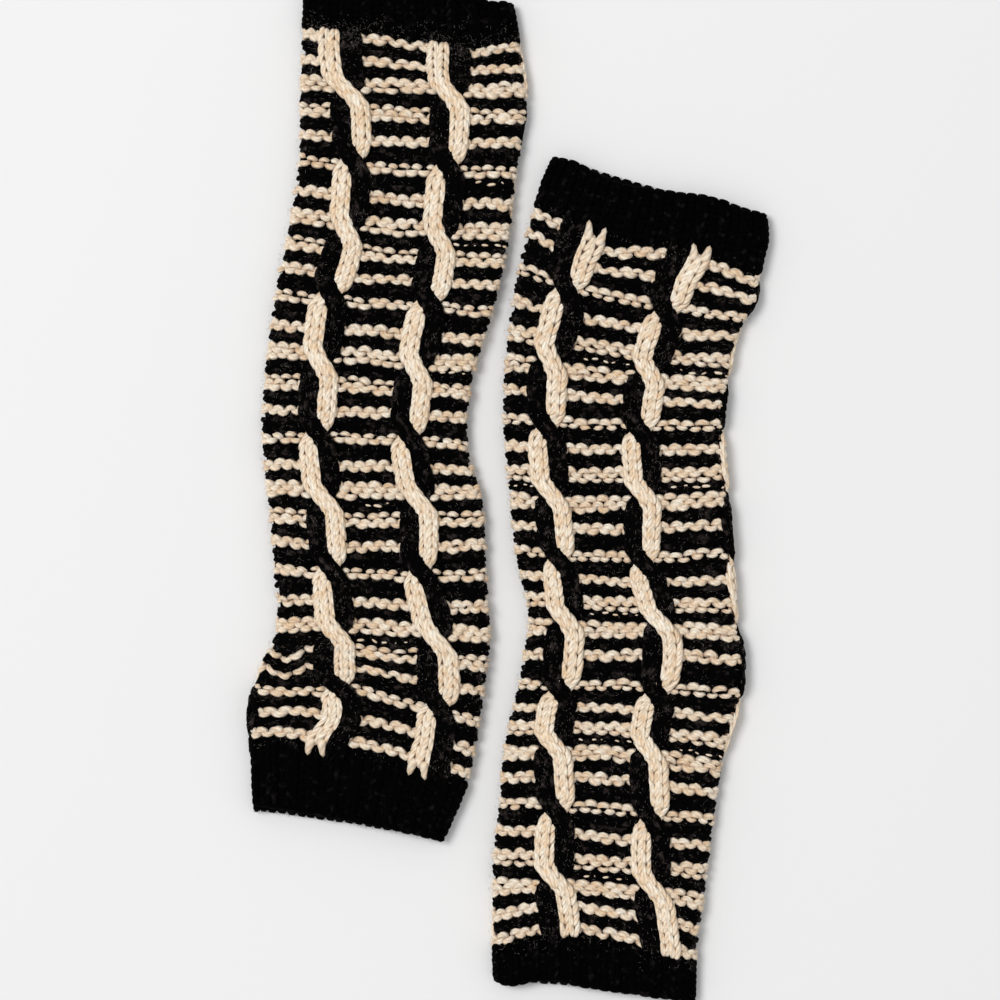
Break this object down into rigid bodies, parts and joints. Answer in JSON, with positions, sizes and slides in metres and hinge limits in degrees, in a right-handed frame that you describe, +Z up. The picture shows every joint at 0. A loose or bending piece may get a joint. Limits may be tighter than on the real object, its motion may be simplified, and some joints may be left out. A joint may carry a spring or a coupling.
{
  "type": "pair of arm warmers",
  "caption": "Pair of chunky knitted arm warmers laid flat side by side, striped cream and black with raised two-colour cables and black ribbed cuffs.",
  "frame": {"origin": "middle of the pair's footprint, on the surface it lies on", "axes": "+X to the right across both arm warmers, +Y along them towards the left one's narrow cuff, +Z up from the surface"},
  "size_m": [0.2438, 0.4779, 0.0144],
  "materials": {
    "cream_and_black_wool": "matt hand-knitted wool, striped cream and black",
    "black_wool": "matt ribbed wool"
  },
  "bodies": {
    "root": {"left_upper_cuff": "black_wool", "left_cabled_body": "cream_and_black_wool", "left_lower_cuff": "black_wool", "right_upper_cuff": "black_wool", "right_cabled_body": "cream_and_black_wool", "right_lower_cuff": "black_wool"}
  },
  "joints": []
}
